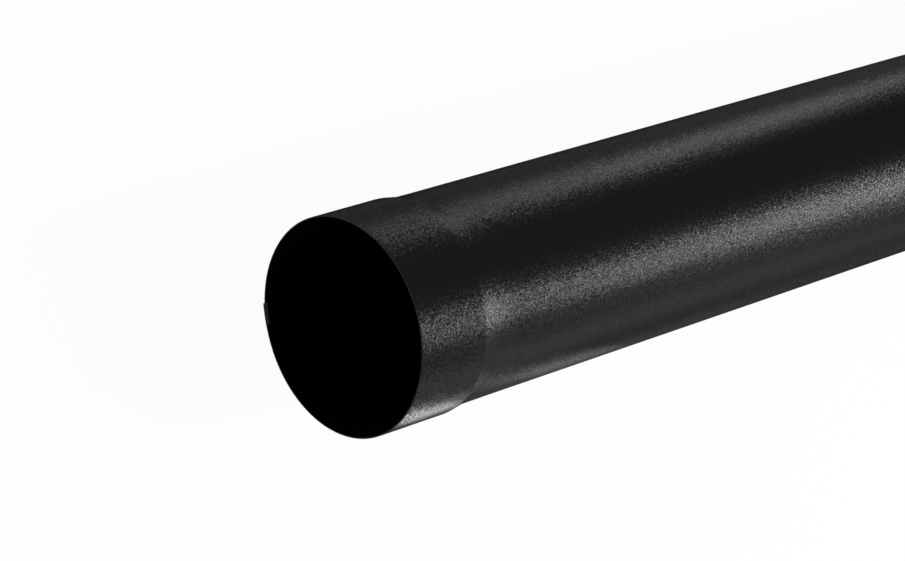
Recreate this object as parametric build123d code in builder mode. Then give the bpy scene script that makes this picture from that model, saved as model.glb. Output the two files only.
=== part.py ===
"""A round steel downpipe: one length of folded sheet with a belled socket.

The pipe lies along +X. Its socket's mouth is at X = 0 and its plain end at X = length.
The sheet is rolled to a tube, and its two edges hook into each other in a flat lock
seam, four layers thick, that runs the whole length. The seam is the heavy side, so the
pipe lies with it underneath. All sizes are in millimetres.
"""
from build123d import *
from math import atan2, cos, degrees, radians, sin, sqrt, tan
import os

# The stock
length = 1000
outside_diameter = 90
wall = 0.6

# The socket, which takes the plain end of the next pipe
socket_clearance = 0.9  # all round, between the next pipe and the socket's bore
socket_depth = 36.4  # from the mouth to the corner where the taper starts
taper_angle = 9.2
taper_bend_radius = 10  # the soft outer bend between the socket and its taper
taper_bend_steps = 4

# The lock seam, in the YZ plane, with angles counted from +Y towards +Z
seam_edge_angle = -72  # where the outer layer ends, near the bottom on the +Y side
seam_lap = 9  # from the outer layer's edge to the hidden fold
seam_rise_span = 17.5  # along the wall, where the outer layer leaves the round
seam_step_in_body = 0.1  # how far the outer layer's edge stands out of the round
seam_step_in_socket = 0.8  # expanding the socket pushes the seam outwards
layer_gap = 0.05
corner_rounding = 0.25

axis_point = Vector(0, 0)
body_radius = outside_diameter / 2
socket_radius = body_radius + socket_clearance + wall
layer_pitch = wall + layer_gap

taper_length = (socket_radius - body_radius) / tan(radians(taper_angle))
body_start = socket_depth + taper_length
bend_start = socket_depth - taper_bend_radius * tan(radians(taper_angle) / 2)
bend_length = taper_bend_radius * sin(radians(taper_angle))


def at_angle(centre, radius, angle):
    """The point at this radius and angle, in degrees, around a centre."""
    return centre + Vector(radius, 0).rotate(Axis.Z, angle)


def angle_around(centre, point):
    """The angle of a point seen from a centre, in degrees."""
    arm = point - centre
    return degrees(atan2(arm.Y, arm.X))


def drop_at(x):
    """How far the wall at x lies inside the socket's: a soft bend, then a straight taper."""
    along_bend = max(0, x - bend_start)
    if along_bend < bend_length:
        return taper_bend_radius - sqrt(taper_bend_radius**2 - along_bend**2)
    return (x - socket_depth) * tan(radians(taper_angle))


def sheet_section(x):
    """The folded sheet's section at x: one strip, whose two edges hook into each other."""
    share = drop_at(min(x, body_start)) / drop_at(body_start)
    radius = socket_radius + (body_radius - socket_radius) * share
    step = seam_step_in_socket + (seam_step_in_body - seam_step_in_socket) * share

    # The outer layer leaves the round on an arc tangent to it, and ends a step outside it.
    # All the layers under it follow the same centre.
    rise_angle = degrees(seam_rise_span / radius)
    lift_off = seam_edge_angle - rise_angle
    edge_radius = radius + step
    edge_reach = edge_radius * cos(radians(rise_angle))
    seam_radius = (edge_radius**2 + radius**2 - 2 * radius * edge_reach) / (2 * (radius - edge_reach))
    seam_centre = at_angle(axis_point, radius - seam_radius, lift_off)

    edge = angle_around(seam_centre, at_angle(axis_point, edge_radius, seam_edge_angle))
    fold = edge - degrees(seam_lap / seam_radius)
    one_wall = degrees(wall / seam_radius)
    one_gap = degrees(layer_gap / seam_radius)

    def layer(depth, start, end):
        """One face of a layer, at a depth below the seam's outer face."""
        return CenterArc(seam_centre, seam_radius - depth, start, end - start)

    with BuildSketch(Plane.YZ.offset(x)) as section:
        with BuildLine():
            # The outer sheet, which hooks inwards at its edge
            outside = layer(0, lift_off, edge)
            hook_underside = layer(2 * layer_pitch + wall, edge, fold + one_wall + one_gap)
            hook_top = layer(2 * layer_pitch, fold + one_wall + one_gap, edge - one_wall)
            underside = layer(wall, edge - one_wall, lift_off)

            # The inner sheet, which dips under that hook and hooks outwards at the hidden fold
            bottom = layer(3 * layer_pitch + wall, edge + one_gap + one_wall, fold)
            inner_hook_top = layer(layer_pitch, fold, edge - one_wall - one_gap)
            inner_hook_underside = layer(layer_pitch + wall, edge - one_wall - one_gap, fold + one_wall)
            bottom_top = layer(3 * layer_pitch, fold + one_wall, edge + one_gap)

            # The rest of the way round
            shoulder = angle_around(axis_point, bottom_top @ 1)
            inner_shoulder = angle_around(axis_point, bottom @ 0)
            round_outside = CenterArc(axis_point, radius, shoulder, 360 + lift_off - shoulder)
            round_inside = CenterArc(
                axis_point, radius - wall, lift_off, inner_shoulder - lift_off - 360
            )

            Line(outside @ 1, hook_underside @ 0)
            Line(hook_underside @ 1, hook_top @ 0)
            Line(hook_top @ 1, underside @ 0)
            Line(round_inside @ 1, bottom @ 0)
            Line(bottom @ 1, inner_hook_top @ 0)
            Line(inner_hook_top @ 1, inner_hook_underside @ 0)
            Line(inner_hook_underside @ 1, bottom_top @ 0)
            Line(bottom_top @ 1, round_outside @ 0)
        make_face()
        corners = [outside @ 1, hook_underside @ 0, bottom @ 1, inner_hook_top @ 0, round_outside @ 0]
        rounded = [section.vertices().sort_by_distance(corner)[0] for corner in corners]
        fillet(rounded, corner_rounding)
    return section.sketch


bend_stations = [bend_start + bend_length * step / taper_bend_steps for step in range(taper_bend_steps)]
taper_stations = bend_stations + [bend_start + bend_length, body_start]

with BuildPart() as downpipe:
    extrude(sheet_section(0), amount=bend_start)
    loft([sheet_section(x) for x in taper_stations], ruled=True)
    extrude(sheet_section(body_start), amount=length - body_start)

downpipe.part.label = "downpipe"
os.makedirs("parts", exist_ok=True)
export_step(downpipe.part, "parts/downpipe.step")
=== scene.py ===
"""The steel downpipe's looks: its folded sheet wall, black textured coat, floor, lamps and camera.

Everything is in metres, in the part's own frame: the pipe lies along +X, its socket's
mouth is at X = 0, and the lock seam is underneath.
"""

from math import atan2, cos, pi, radians

import bmesh
import bpy
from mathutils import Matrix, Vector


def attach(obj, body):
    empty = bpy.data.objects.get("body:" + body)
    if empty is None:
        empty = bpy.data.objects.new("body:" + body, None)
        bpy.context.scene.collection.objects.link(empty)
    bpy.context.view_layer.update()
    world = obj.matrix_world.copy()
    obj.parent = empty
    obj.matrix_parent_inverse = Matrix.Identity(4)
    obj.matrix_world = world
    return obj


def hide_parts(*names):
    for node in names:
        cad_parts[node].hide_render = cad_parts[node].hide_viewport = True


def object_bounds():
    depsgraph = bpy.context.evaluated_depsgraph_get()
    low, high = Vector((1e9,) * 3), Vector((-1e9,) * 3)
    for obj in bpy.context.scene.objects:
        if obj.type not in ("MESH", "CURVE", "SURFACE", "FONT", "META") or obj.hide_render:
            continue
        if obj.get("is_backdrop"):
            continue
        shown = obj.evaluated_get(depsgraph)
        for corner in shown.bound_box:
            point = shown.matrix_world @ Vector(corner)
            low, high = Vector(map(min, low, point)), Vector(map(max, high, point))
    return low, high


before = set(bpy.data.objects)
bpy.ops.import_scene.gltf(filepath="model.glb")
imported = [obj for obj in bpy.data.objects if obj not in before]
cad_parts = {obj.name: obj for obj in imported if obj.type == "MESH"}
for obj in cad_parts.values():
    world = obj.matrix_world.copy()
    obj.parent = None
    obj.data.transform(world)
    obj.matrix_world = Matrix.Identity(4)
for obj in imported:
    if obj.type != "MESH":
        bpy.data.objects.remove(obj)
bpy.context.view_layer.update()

MM = 0.001

# The stock, as in the part's source
LENGTH = 1000 * MM
BODY_RADIUS = 45 * MM
WALL = 0.6 * MM
SOCKET_CLEARANCE = 0.9 * MM
SOCKET_RADIUS = BODY_RADIUS + SOCKET_CLEARANCE + WALL
SOCKET_DEPTH = 36.4 * MM
TAPER_ANGLE = radians(9.2)
TAPER_BEND_RADIUS = 10 * MM
SEAM_EDGE_ANGLE = radians(-72)
SEAM_LAP = 9 * MM
SEAM_RISE_SPAN = 17.5 * MM
SEAM_STEP_IN_BODY = 0.1 * MM
SEAM_STEP_IN_SOCKET = 0.8 * MM
LAYER_GAP = 0.05 * MM
CORNER_ROUNDING = 0.25 * MM

# Finer than the solid
SPRING_BACK = 0.1 * MM  # how far the body stands out just past the taper
SPRING_LENGTH = 6 * MM  # how slowly that dies away
CREASE_EASE = 14 * MM  # how far the taper's crease shades into the body
CUT_ROUNDING = 0.08 * MM  # the sheared ends of the sheet, softened by the coat

# How finely the mesh follows the shape
ROUND_POINTS = 150
LAYER_POINTS = 14
RISE_POINTS = 30
CORNER_POINTS = 3
CUT_STEPS = 3
SOCKET_STEPS = 4
BEND_STEPS = 12
BODY_STEPS = 40
SUPPORT_DISTANCE = 4  # in cut roundings, from a cut or the crease to the row that holds its shading
MERGE_DISTANCE = 0.001 * MM
SMOOTH_LIMIT = radians(40)  # a sharper turn stays a corner or a hard edge
HALF = 0.5  # a face with more than half its points inside belongs to the inside

# The black coat outside
GRAIN_SCALE = 2900.0  # grains to a metre
GRAIN_MIDDLE = (0.5, 0.5, 0.5)  # the middle of the random colours that lean the grains
GRAIN_LEAN = 0.26  # how strongly they lean, next to the wall's own direction
GRAIN_SHADES = (0.04, 0.05)
COAT_ROUGHNESS = 0.24
COAT_ROUGHNESS_SPREAD = 0.04
COAT_GRAZING_TINT = 0.42  # holds back the reflection at a low angle
GLOSS_FADES_FROM = 0.62  # where 0 is seen square on and 1 edge-on
GLOSS_FADES_TO = 0.9
GLOSS_LEFT = 0.03

# The dark coat inside, made near black: partly the coat's own dark colour, partly painted shade of
# the deep bore
INSIDE_MOTTLE_SCALE = 400.0
INSIDE_MOTTLE_DETAIL = 3.0
# Far darker than the outside coat: painted shade of the bore, over a dark coat
INSIDE_PAINTED_SHADE_GREYS = (0.001, 0.003)
INSIDE_ROUGHNESS = 0.75
INSIDE_ROUGHNESS_SPREAD = 0.1
INSIDE_SPECULAR = 0.05
INSIDE_BUMP_HEIGHT = 0.1 * MM
INSIDE_BUMP_STRENGTH = 0.2

# The floor, partly white of its own and partly lit
FLOOR_REACH = 6.0  # to each side of the socket's mouth
FLOOR_MOTTLE_SCALE = 3.0
FLOOR_MOTTLE_DETAIL = 2.0
FLOOR_SHADE = 0.85
FLOOR_ROUGHNESS = 0.5
FLOOR_WHITE = 1.12  # a little over white, because the lit part is darker
WHITE_SEEN = 0.85  # the share of its own white that the camera sees
WHITE_MIRRORED = 0.36  # the share of it that the pipe reflects

# The studio
WORLD_GLOW = 0.19  # how bright the world is in reflections
LAMP_GROUND = 1 * MM - SOCKET_RADIUS  # just above the floor, on which the socket lies

# The camera. The pipe was turned to lie on its seam, and the camera turned with it.
CAMERA_PLACE = (-0.89588, 0.11454, 1.03885)
CAMERA_TURN = (radians(7.6741), radians(-42.4067), radians(-17.7937))
LENS_MM = 135.07
SENSOR_WIDTH_MM = 36
VIEW_DEPTH = 50

# The sizes, under the names that the node groups give them
SHEET_SIZES = {
    "Wall": WALL,
    "Layer Gap": LAYER_GAP,
    "Seam Edge Angle": SEAM_EDGE_ANGLE,
    "Seam Lap": SEAM_LAP,
    "Seam Rise": SEAM_RISE_SPAN,
    "Corner Rounding": CORNER_ROUNDING,
}
PIPE_SIZES = {
    "Length": LENGTH,
    "Body Radius": BODY_RADIUS,
    "Socket Radius": SOCKET_RADIUS,
    "Socket Depth": SOCKET_DEPTH,
    "Taper Angle": TAPER_ANGLE,
    "Taper Bend Radius": TAPER_BEND_RADIUS,
    "Spring Back": SPRING_BACK,
    "Spring Length": SPRING_LENGTH,
    "Crease Ease": CREASE_EASE,
    "Step In Socket": SEAM_STEP_IN_SOCKET,
    "Step In Body": SEAM_STEP_IN_BODY,
    "Cut Rounding": CUT_ROUNDING,
}


def grey(shade):
    return (shade, shade, shade, 1.0)


class Value:
    """A node's output. Sums of values are written as plain expressions, which add nodes."""

    def __init__(self, tree, socket):
        self.tree = tree
        self.socket = socket

    def combined(self, operation, *values):
        if self.socket.type == "VECTOR":
            return self.tree.vector_maths(operation, *values)
        return self.tree.maths(operation, *values)

    def __add__(self, other):
        return self.combined("ADD", self, other)

    def __radd__(self, other):
        return self.combined("ADD", other, self)

    def __sub__(self, other):
        return self.combined("SUBTRACT", self, other)

    def __rsub__(self, other):
        return self.combined("SUBTRACT", other, self)

    def __mul__(self, other):
        if self.socket.type == "VECTOR":
            return self.tree.vector_maths("SCALE", self, other)
        return self.combined("MULTIPLY", self, other)

    def __rmul__(self, other):
        return self * other

    def __truediv__(self, other):
        return self.combined("DIVIDE", self, other)

    def __rtruediv__(self, other):
        return self.combined("DIVIDE", other, self)

    def __mod__(self, other):
        return self.combined("MODULO", self, other)

    def __gt__(self, other):
        return self.combined("GREATER_THAN", self, other)

    def __lt__(self, other):
        return self.combined("LESS_THAN", self, other)


class Tree:
    """A node tree, to which nodes are added by type, settings and sockets."""

    def __init__(self, node_tree):
        self.node_tree = node_tree
        self.node_tree.nodes.clear()

    def socket(self, sockets, key):
        """A socket in use, by its name or its place among those in use."""
        enabled = [socket for socket in sockets if socket.enabled]
        if isinstance(key, int):
            return enabled[key]
        return next(socket for socket in enabled if socket.name == key)

    def node(self, kind, settings=None, sockets=None):
        """Adds a node: its settings first, then the values or links of its sockets."""
        node = self.node_tree.nodes.new(kind)
        for name, setting in (settings or {}).items():
            setattr(node, name, setting)
        for key, value in (sockets or {}).items():
            for one in value if isinstance(value, list) else [value]:
                socket = self.socket(node.inputs, key)
                if isinstance(one, Value):
                    self.node_tree.links.new(one.socket, socket)
                else:
                    socket.default_value = one
        return node

    def outputs(self, node, *names):
        return [Value(self, node.outputs[name]) for name in names]

    def add(self, kind, settings=None, sockets=None, output=0):
        """Adds a node and gives one of its outputs."""
        node = self.node(kind, settings, sockets)
        return Value(self, self.socket(node.outputs, output))

    def maths(self, operation, *values):
        return self.add("ShaderNodeMath", {"operation": operation}, dict(enumerate(values)))

    def vector_maths(self, operation, *vectors, output=0):
        settings = {"operation": operation}
        return self.add("ShaderNodeVectorMath", settings, dict(enumerate(vectors)), output)

    def vector(self, x, y, z):
        return self.add("ShaderNodeCombineXYZ", sockets={"X": x, "Y": y, "Z": z})

    def x_of(self, vector):
        return self.add("ShaderNodeSeparateXYZ", sockets={0: vector}, output="X")

    def polar(self, radius, angle):
        """How far across and how far up a point lies, at this radius and angle."""
        return radius * self.maths("COSINE", angle), radius * self.maths("SINE", angle)

    def stood_up(self, place, x):
        """A point of a flat section, stood up across the pipe at x."""
        flat = self.node("ShaderNodeSeparateXYZ", sockets={0: place})
        return self.vector(x, *self.outputs(flat, "X", "Y"))

    def joined(self, parts):
        """Parts joined in order. The join takes what is linked last first."""
        return self.add("GeometryNodeJoinGeometry", sockets={0: parts[::-1]})

    def moved(self, geometry, place):
        sockets = {"Geometry": geometry, "Position": place}
        return self.add("GeometryNodeSetPosition", sockets=sockets)

    def named(self, name, kind="FLOAT"):
        return self.add("GeometryNodeInputNamedAttribute", {"data_type": kind}, {"Name": name})

    def store(self, name, geometry, value, domain="POINT"):
        kind = "FLOAT_VECTOR" if value.socket.type == "VECTOR" else "FLOAT"
        return self.add(
            "GeometryNodeStoreNamedAttribute",
            {"data_type": kind, "domain": domain},
            {"Geometry": geometry, "Name": name, "Value": value},
        )

    def sample(self, geometry, value, index, kind="FLOAT_VECTOR"):
        return self.add(
            "GeometryNodeSampleIndex",
            {"data_type": kind, "domain": "POINT"},
            {"Geometry": geometry, "Value": value, "Index": index},
        )

    def mottle(self, scale, detail):
        """Soft noise that is fixed to the piece."""
        place = self.add("ShaderNodeTexCoord", output="Object")
        sockets = {"Vector": place, "Scale": scale, "Detail": detail}
        return self.add("ShaderNodeTexNoise", sockets=sockets)

    def grey_between(self, shades, share):
        dark, light = shades
        sockets = {"Factor": share, "A": grey(dark), "B": grey(light)}
        return self.add("ShaderNodeMix", {"data_type": "RGBA"}, sockets)


def node_group(name, inputs, outputs):
    """A Geometry Nodes group with named sockets: its tree and its inputs' values."""
    group = bpy.data.node_groups.new(name, "GeometryNodeTree")
    for in_out, sockets in (("INPUT", inputs), ("OUTPUT", outputs)):
        for label, kind in sockets.items():
            group.interface.new_socket(label, in_out=in_out, socket_type="NodeSocket" + kind)
    tree = Tree(group)
    start = tree.node("NodeGroupInput")
    return tree, dict(zip(inputs, tree.outputs(start, *inputs)))


def run_group():
    """One run of the section: points on an arc. With as many steps as points its end is left out."""
    tree, given = node_group(
        "arc_run",
        {
            "Centre": "Vector",
            "Radius": "Float",
            "Start": "Float",
            "End": "Float",
            "Points": "Int",
            "Steps": "Int",
            "Inside": "Float",
        },
        {"Run": "Geometry"},
    )
    index = tree.add("GeometryNodeInputIndex")
    angle = given["Start"] + (given["End"] - given["Start"]) * (index / given["Steps"])
    arm = tree.vector(*tree.polar(given["Radius"], angle), 0.0)
    line = tree.add("GeometryNodeMeshLine", sockets={"Count": given["Points"]})
    run = tree.store("inside", tree.moved(line, given["Centre"] + arm), given["Inside"])
    tree.node("NodeGroupOutput", sockets={"Run": run})
    return tree.node_tree


def section_group():
    """The folded sheet's outline at one station: both faces of one strip, hooked at its edges."""
    tree, given = node_group(
        "folded_section",
        dict.fromkeys(["Radius", "Step", *SHEET_SIZES], "Float"),
        {"Outline": "Geometry"},
    )
    radius = given["Radius"]
    wall = given["Wall"]
    gap = given["Layer Gap"]
    pitch = wall + gap
    bottom = 3 * pitch

    # The outer layer leaves the round on an arc tangent to it, and ends a step outside it.
    # All the layers under it follow the same centre.
    rise = given["Seam Rise"] / radius
    lift_off = given["Seam Edge Angle"] - rise
    edge_radius = radius + given["Step"]
    edge_reach = edge_radius * tree.maths("COSINE", rise)
    seam_radius = (edge_radius * edge_radius + radius * radius - 2 * radius * edge_reach) / (
        2 * (radius - edge_reach)
    )
    centre_y, centre_z = tree.polar(radius - seam_radius, lift_off)
    edge_y, edge_z = tree.polar(edge_radius, given["Seam Edge Angle"])
    edge = tree.maths("ARCTAN2", edge_z - centre_z, edge_y - centre_y)
    fold = edge - given["Seam Lap"] / seam_radius
    one_wall = wall / seam_radius
    one_gap = gap / seam_radius
    hook_tip = fold + one_wall + one_gap
    inner_hook_tip = edge - one_wall - one_gap

    def angle_round_axis(depth, angle):
        """The angle round the pipe's axis of a point on one of the seam's layers."""
        across, up = tree.polar(seam_radius - depth, angle)
        return tree.maths("ARCTAN2", centre_z + up, centre_y + across)

    shoulder = angle_round_axis(bottom, edge + one_gap)
    inner_shoulder = angle_round_axis(bottom + wall, edge + one_gap + one_wall)
    seam_centre = tree.vector(centre_y, centre_z, 0.0)
    axis = tree.vector(0.0, 0.0, 0.0)

    # A run has a centre, a radius, a start, an end, its points, and whether its end is left out
    def layer(depth, start, end, points=LAYER_POINTS, end_left_out=False):
        """A run along one of the seam's layers, at a depth below the seam's outer face."""
        return seam_centre, seam_radius - depth, start, end, points, end_left_out

    def way_round(radius, start, end, end_left_out=False):
        """A run the rest of the way round the pipe."""
        return axis, radius, start, end, ROUND_POINTS, end_left_out

    outer_face = [
        layer(2 * pitch + wall, hook_tip, edge),
        layer(0.0, edge, lift_off, RISE_POINTS, end_left_out=True),
        way_round(radius, lift_off, shoulder - 2 * pi),
        layer(bottom, edge + one_gap, fold + one_wall),
        layer(pitch + wall, fold + one_wall, inner_hook_tip),
    ]
    inner_face = [
        layer(pitch, inner_hook_tip, fold),
        layer(bottom + wall, fold, edge + one_gap + one_wall),
        way_round(radius - wall, inner_shoulder - 2 * pi, lift_off, end_left_out=True),
        layer(wall, lift_off, edge - one_wall, RISE_POINTS),
        layer(2 * pitch, edge - one_wall, hook_tip),
    ]
    outline = rounded_outline(tree, (outer_face, inner_face), given["Corner Rounding"])
    tree.node("NodeGroupOutput", sockets={"Outline": outline})
    return tree.node_tree


def runs_of(tree, faces):
    """Both faces' runs as arcs, and how many points they have in all."""
    arc_run = run_group()
    runs = []
    total = 0
    for inside, face in enumerate(faces):
        for centre, radius, start, end, points, end_left_out in face:
            sizes = {
                "Centre": centre,
                "Radius": radius,
                "Start": start,
                "End": end,
                "Points": points,
                "Steps": points if end_left_out else points - 1,
                "Inside": float(inside),
            }
            runs.append(tree.add("GeometryNodeGroup", {"node_tree": arc_run}, sizes))
            total += points
    return runs, total


def rounded_outline(tree, faces, rounding):
    """Both faces as one closed outline with rounded corners. Each point stores its way outwards."""
    runs, total = runs_of(tree, faces)
    dots = tree.add("GeometryNodeMeshToPoints", sockets={0: tree.joined(runs)})
    strip = tree.add("GeometryNodePointsToCurves", sockets={0: dots})
    loop = tree.add("GeometryNodeSetSplineCyclic", sockets={"Geometry": strip, "Cyclic": True})

    # A corner is a point where the outline turns sharply
    index = tree.add("GeometryNodeInputIndex")
    place = tree.add("GeometryNodeInputPosition")
    ahead, behind = (
        tree.add(
            "GeometryNodeFieldAtIndex",
            {"data_type": "FLOAT_VECTOR", "domain": "POINT"},
            {"Value": place, "Index": (index + step) % total},
        )
        for step in (1, total - 1)
    )
    turn = tree.vector_maths(
        "DOT_PRODUCT",
        tree.vector_maths("NORMALIZE", place - behind),
        tree.vector_maths("NORMALIZE", ahead - place),
        output="Value",
    )
    corner = turn < cos(SMOOTH_LIMIT)
    rounded = tree.add(
        "GeometryNodeFilletCurve",
        {"mode": "POLY"},
        {
            "Curve": loop,
            "Count": CORNER_POINTS,
            "Radius": rounding * corner,
            "Limit Radius": True,
        },
    )
    tangent = tree.add("GeometryNodeInputTangent")
    outwards = tree.vector_maths("CROSS_PRODUCT", (0.0, 0.0, 1.0), tangent)
    return tree.store("outwards", rounded, outwards)


class WallLine:
    """The wall's line along the pipe: a soft bend, a straight taper, a crease and a spring back."""

    def __init__(self, tree, given):
        self.tree = tree
        self.bend_radius = given["Taper Bend Radius"]
        self.spring_back = given["Spring Back"]
        self.spring_length = given["Spring Length"]
        self.drop_in_all = given["Socket Radius"] - given["Body Radius"]
        self.slope = tree.maths("TANGENT", given["Taper Angle"])
        half_slope = tree.maths("TANGENT", given["Taper Angle"] / 2)
        self.bend_start = given["Socket Depth"] - self.bend_radius * half_slope
        self.bend_length = self.bend_radius * tree.maths("SINE", given["Taper Angle"])
        self.body_start = given["Socket Depth"] + self.drop_in_all / self.slope
        self.crease = self.body_start - self.spring_back / self.slope

    def drop_at(self, x):
        """How far the wall at x lies inside the socket's."""
        maths = self.tree.maths
        radius = self.bend_radius
        along = maths("MAXIMUM", x - self.bend_start, 0.0)
        in_bend = maths("MINIMUM", along, self.bend_length)
        bent = radius - maths("SQRT", radius * radius - in_bend * in_bend)
        tapered = bent + (along - in_bend) * self.slope
        past = maths("MAXIMUM", x - self.body_start, 0.0)
        eased = maths("EXPONENT", 0.0 - past / self.spring_length)
        return maths("MINIMUM", tapered, self.drop_in_all - self.spring_back * eased)


def stations_along(tree, given, line):
    """Stations along the pipe, close together where the wall bends or is cut, and their count."""
    length = given["Length"]
    cut = given["Cut Rounding"]
    support = SUPPORT_DISTANCE * cut

    # Each span has an end and a number of steps
    spans = [
        (cut, CUT_STEPS),
        (support, 1),
        (line.bend_start, SOCKET_STEPS),
        (line.bend_start + line.bend_length, BEND_STEPS),
        (line.crease - support, 1),
        (line.crease, 1),
        (line.crease + given["Crease Ease"], 1),
        (length - support, BODY_STEPS),
        (length - cut, 1),
        (length, CUT_STEPS),
    ]

    def stations_from(start, step, count):
        sockets = {
            "Count": count,
            "Start Location": tree.vector(start, 0.0, 0.0),
            "Offset": tree.vector(step, 0.0, 0.0),
        }
        return tree.add("GeometryNodeMeshLine", sockets=sockets)

    lines = []
    start = 0.0
    for end, count in spans:
        lines.append(stations_from(start, (end - start) / count, count))
        start = end
    lines.append(stations_from(length, 0.0, 1))
    return tree.joined(lines), sum(count for _, count in spans) + 1


def pipe_group():
    """The whole wall: the section in the socket and in the body, blended along the taper."""
    tree, given = node_group(
        "folded_pipe",
        {
            **dict.fromkeys([*PIPE_SIZES, *SHEET_SIZES], "Float"),
            "Outside Coat": "Material",
            "Inside Coat Painted Dark": "Material",
        },
        {"Pipe": "Geometry"},
    )
    folded_section = section_group()

    def outline(radius, step):
        sizes = {"Radius": radius, "Step": step, **{name: given[name] for name in SHEET_SIZES}}
        return tree.add("GeometryNodeGroup", {"node_tree": folded_section}, sizes)

    socket_outline = outline(given["Socket Radius"], given["Step In Socket"])
    body_outline = outline(given["Body Radius"], given["Step In Body"])

    length = given["Length"]
    cut = given["Cut Rounding"]
    line = WallLine(tree, given)
    stations, station_count = stations_along(tree, given, line)

    # A grid of stations by outline points, which closes on itself
    points_round = tree.add(
        "GeometryNodeAttributeDomainSize", {"component": "CURVE"}, {0: socket_outline}
    )
    grid = tree.add(
        "GeometryNodeMeshGrid",
        sockets={"Vertices X": station_count, "Vertices Y": points_round + 1},
    )
    index = tree.add("GeometryNodeInputIndex")
    station = tree.maths("FLOOR", index / (points_round + 1))
    around = (index - station * (points_round + 1)) % points_round
    place = tree.add("GeometryNodeInputPosition")
    x = tree.x_of(tree.sample(stations, place, station))
    share = line.drop_at(x) / line.drop_in_all

    # Close to a cut end, both faces draw in along a quarter circle
    from_end = tree.maths("MINIMUM", tree.maths("MINIMUM", x, length - x), cut)
    into_rounding = cut - from_end
    inset = cut - tree.maths("SQRT", cut * cut - into_rounding * into_rounding)

    def blended(field):
        """What the outline has in the socket and in the body, blended along the taper."""
        in_socket = tree.sample(socket_outline, field, around)
        in_body = tree.sample(body_outline, field, around)
        return in_socket + (in_body - in_socket) * share

    outwards = tree.named("outwards", "FLOAT_VECTOR")
    section_place = blended(place) - blended(outwards) * inset
    wall = tree.moved(grid, tree.stood_up(section_place, x))
    inside = tree.sample(socket_outline, tree.named("inside"), around, "FLOAT")
    wall = tree.store("bore", wall, inside)
    wall = tree.store("bore_face", wall, tree.named("bore") > HALF, "FACE")

    def cut_end(section, x):
        """The sheet's cut end at x, filled in."""
        edge = tree.moved(section, place - outwards * cut)
        filled = tree.add("GeometryNodeFillCurve", {"mode": "TRIANGLES"}, {"Curve": edge})
        return tree.moved(filled, tree.stood_up(place, x))

    whole = tree.joined([wall, cut_end(socket_outline, 0.0), cut_end(body_outline, length)])
    tree.node("NodeGroupOutput", sockets={"Pipe": shaded_and_coated(tree, given, whole)})
    return tree.node_tree


def shaded_and_coated(tree, given, whole):
    """The wall closed along its joins, shaded smooth but for its hard edges, with its two coats: the
    inside one held near black as painted shade of the bore.
    """
    merged = tree.add(
        "GeometryNodeMergeByDistance", sockets={"Geometry": whole, "Distance": MERGE_DISTANCE}
    )
    smooth = tree.add("GeometryNodeSetShadeSmooth", {"domain": "FACE"}, {"Geometry": merged})
    turn = tree.add("GeometryNodeInputMeshEdgeAngle")
    shaded = tree.add(
        "GeometryNodeSetShadeSmooth",
        {"domain": "EDGE"},
        {"Geometry": smooth, "Shade Smooth": turn < SMOOTH_LIMIT},
    )
    realized = tree.add("GeometryNodeRealizeInstances", sockets={"Geometry": shaded})
    coated = tree.add(
        "GeometryNodeSetMaterial",
        sockets={"Geometry": realized, "Material": given["Outside Coat"]},
    )
    # The bore's faces take the inside coat, whose near-black colour is partly painted shade
    in_bore = {
        "Geometry": coated,
        "Selection": tree.named("bore_face") > HALF,
        "Material": given["Inside Coat Painted Dark"],
    }
    return tree.add("GeometryNodeSetMaterial", sockets=in_bore)


def made_by(group, name, inputs):
    """The plain mesh object that a Geometry Nodes group makes from these inputs."""
    piece = bpy.data.objects.new(name, bpy.data.meshes.new(name))
    bpy.context.scene.collection.objects.link(piece)
    modifier = piece.modifiers.new(name, "NODES")
    modifier.node_group = group
    for item in group.interface.items_tree:
        if item.in_out == "INPUT":
            modifier[item.identifier] = inputs[item.name]
    graph = bpy.context.evaluated_depsgraph_get()
    mesh = bpy.data.meshes.new_from_object(piece.evaluated_get(graph))
    piece.modifiers.clear()
    mesh.name = name
    piece.data = mesh
    return piece


def face_outwards(mesh):
    """Points a closed mesh's faces outwards."""
    shape = bmesh.new()
    shape.from_mesh(mesh)
    bmesh.ops.recalc_face_normals(shape, faces=shape.faces)
    shape.to_mesh(mesh)
    shape.free()


def new_material(name):
    material = bpy.data.materials.new(name)
    material.use_nodes = True
    return material, Tree(material.node_tree)


def coated_steel():
    """Black textured coat: near black, satin, with a fine grain that breaks up its highlights."""
    material, tree = new_material("coated_steel")
    place = tree.add("ShaderNodeTexCoord", output="Object")
    grain = tree.add(
        "ShaderNodeTexVoronoi", sockets={"Vector": place, "Scale": GRAIN_SCALE}, output="Color"
    )
    speck = tree.x_of(grain)

    # Each grain leans a little its own way
    wall_normal = tree.add("ShaderNodeNewGeometry", output="Normal")
    lean = tree.vector_maths("SUBTRACT", grain, GRAIN_MIDDLE)
    leaning = tree.vector_maths("NORMALIZE", wall_normal + lean * GRAIN_LEAN)

    # The coat reflects as a very dark metal, because that reflection can fade towards the outline
    edge_on = tree.add("ShaderNodeLayerWeight", output="Facing")
    gloss_kept = tree.add(
        "ShaderNodeMapRange",
        {"interpolation_type": "SMOOTHSTEP"},
        {
            "Value": edge_on,
            "From Min": GLOSS_FADES_FROM,
            "From Max": GLOSS_FADES_TO,
            "To Min": 1.0,
            "To Max": GLOSS_LEFT,
        },
    )
    surface = tree.add(
        "ShaderNodeBsdfPrincipled",
        sockets={
            "Base Color": tree.grey_between(GRAIN_SHADES, speck),
            "Metallic": gloss_kept,
            "Roughness": COAT_ROUGHNESS + COAT_ROUGHNESS_SPREAD * speck,
            "Specular IOR Level": 0.0,
            "Specular Tint": grey(COAT_GRAZING_TINT),
            "Normal": leaning,
        },
    )
    tree.node("ShaderNodeOutputMaterial", sockets={"Surface": surface})
    return material


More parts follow.
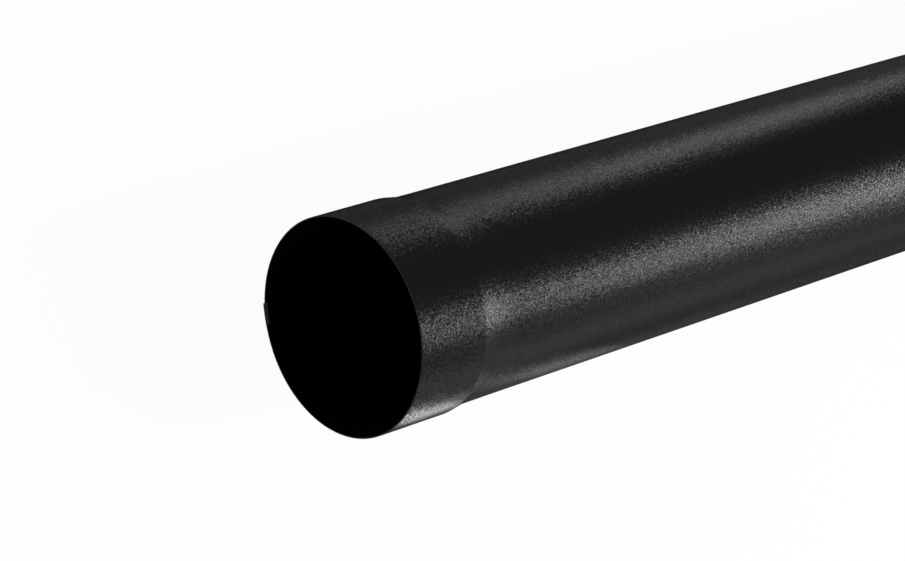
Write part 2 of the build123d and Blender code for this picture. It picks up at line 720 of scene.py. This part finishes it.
def inside_coat_painted_dark():
    """The thin matt coat inside the pipe, near black: partly its own dark coat, partly painted shade
    of the deep bore.
    """
    material, tree = new_material("inside_coat_painted_dark")
    mottle = tree.mottle(INSIDE_MOTTLE_SCALE, INSIDE_MOTTLE_DETAIL)
    bump = tree.add(
        "ShaderNodeBump",
        sockets={
            "Strength": INSIDE_BUMP_STRENGTH,
            "Distance": INSIDE_BUMP_HEIGHT,
            "Height": mottle,
        },
    )
    # The base colour stays near black as painted shade of the bore, not only the coat's own colour
    surface = tree.add(
        "ShaderNodeBsdfPrincipled",
        sockets={
            "Base Color": tree.grey_between(INSIDE_PAINTED_SHADE_GREYS, mottle),
            "Roughness": INSIDE_ROUGHNESS + INSIDE_ROUGHNESS_SPREAD * mottle,
            "Specular IOR Level": INSIDE_SPECULAR,
            "Normal": bump,
        },
    )
    tree.node("ShaderNodeOutputMaterial", sockets={"Surface": surface})
    return material


def pale_floor():
    """A floor that is white to the camera but keeps some shadow, and is darker in reflections."""
    material, tree = new_material("pale_floor")
    camera_ray, glossy_ray, clear_ray = tree.outputs(
        tree.node("ShaderNodeLightPath"), "Is Camera Ray", "Is Glossy Ray", "Is Transmission Ray"
    )
    mirrored = tree.maths("MAXIMUM", glossy_ray, clear_ray)
    own_white = WHITE_SEEN * camera_ray + WHITE_MIRRORED * mirrored
    mottle = tree.mottle(FLOOR_MOTTLE_SCALE, FLOOR_MOTTLE_DETAIL)
    lit = tree.add(
        "ShaderNodeBsdfDiffuse",
        sockets={"Color": grey(FLOOR_SHADE), "Roughness": FLOOR_ROUGHNESS * mottle},
    )
    white = tree.add(
        "ShaderNodeEmission", sockets={"Color": grey(1.0), "Strength": FLOOR_WHITE}
    )
    surface = tree.add("ShaderNodeMixShader", sockets={0: own_white, 1: lit, 2: white})
    tree.node("ShaderNodeOutputMaterial", sockets={"Surface": surface})
    return material


def floor_under(lowest, material):
    mesh = bpy.data.meshes.new("floor")
    sides = ((-1, -1), (1, -1), (1, 1), (-1, 1))
    corners = [(x * FLOOR_REACH, y * FLOOR_REACH, lowest) for x, y in sides]
    mesh.from_pydata(corners, [], [(0, 1, 2, 3)])
    mesh.materials.append(material)
    floor = bpy.data.objects.new("floor", mesh)
    bpy.context.scene.collection.objects.link(floor)
    floor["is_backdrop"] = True


def studio_world():
    """A world that is white to the camera and dim in reflections."""
    world = bpy.data.worlds.new("studio")
    world.use_nodes = True
    tree = Tree(world.node_tree)
    camera_ray = tree.add("ShaderNodeLightPath", output="Is Camera Ray")
    strength = WORLD_GLOW + (1 - WORLD_GLOW) * camera_ray
    sky = tree.add("ShaderNodeBackground", sockets={"Color": grey(1.0), "Strength": strength})
    tree.node("ShaderNodeOutputWorld", sockets={"Surface": sky})
    bpy.context.scene.world = world


def placed(name, data, place, turn):
    """The object of a lamp or camera, at its place and turned about X, Y and Z."""
    body = bpy.data.objects.new(name, data)
    body.location = place
    body.rotation_euler = turn
    bpy.context.scene.collection.objects.link(body)
    return body


def lamp(name, along, across, height, turn, width, strength):
    """A rectangular lamp along the pipe, turned about X from facing straight down.

    Its strength is how bright its face is. The camera doesn't see it.
    """
    start, end = along
    length = end - start
    light = bpy.data.lights.new(name, "AREA")
    light.shape = "RECTANGLE"
    light.size = length
    light.size_y = width
    light.energy = strength * pi * length * width
    body = placed(name, light, ((start + end) / 2, across, height), (turn, 0.0, 0.0))
    body.visible_camera = False


def softbox(name, along, across, height, width, strength):
    """A lamp that faces the pipe's axis."""
    lamp(name, along, across, height, atan2(-across, height), width, strength)


def floor_light(name, along, across, width, strength):
    """A lamp that lies just above the floor and faces up."""
    lamp(name, along, across, LAMP_GROUND, pi, width, strength)


def photo_camera():
    """The camera at the photo's viewing angle."""
    camera = bpy.data.cameras.new("camera")
    camera.lens = LENS_MM
    camera.sensor_width = SENSOR_WIDTH_MM
    camera.clip_end = VIEW_DEPTH
    bpy.context.scene.camera = placed("camera", camera, CAMERA_PLACE, CAMERA_TURN)


# The inside coat is near black as painted shade of the bore, over a dark coat
coats = {"Outside Coat": coated_steel(), "Inside Coat Painted Dark": inside_coat_painted_dark()}
downpipe = made_by(pipe_group(), "downpipe_wall", {**PIPE_SIZES, **SHEET_SIZES, **coats})
face_outwards(downpipe.data)
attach(downpipe, "root")
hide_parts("downpipe")

floor_under(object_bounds()[0].z, pale_floor())
photo_camera()

softbox("overhead_strip", along=(1.0, 1.3), across=-0.45, height=0.95, width=0.12, strength=27.0)
softbox("end_panel", along=(2.2, 3.0), across=-0.62, height=0.95, width=0.5, strength=28.0)
softbox("end_side", along=(1.9, 2.7), across=-1.0, height=0.75, width=0.3, strength=6.0)
softbox("near_low", along=(0.7, 2.0), across=-1.0, height=0.1, width=0.25, strength=1.8)
softbox("near_high", along=(0.9, 1.6), across=-1.0, height=0.6, width=0.4, strength=0.5)
softbox("far_strip", along=(0.48, 0.8), across=0.5, height=0.035, width=0.06, strength=6.4)
floor_light("far_floor", along=(0.65, 0.95), across=0.42, width=0.12, strength=18.0)
floor_light("middle_floor", along=(0.3, 0.65), across=0.42, width=0.12, strength=6.0)
floor_light("socket_floor", along=(0.07, 0.11), across=-0.1, width=0.04, strength=19.5)
floor_light("taper_floor", along=(0.11, 0.15), across=-0.14, width=0.04, strength=11.0)
floor_light("body_floor", along=(0.15, 0.21), across=-0.11, width=0.1, strength=3.1)
studio_world()

view = bpy.context.scene.view_settings
view.view_transform = "Standard"
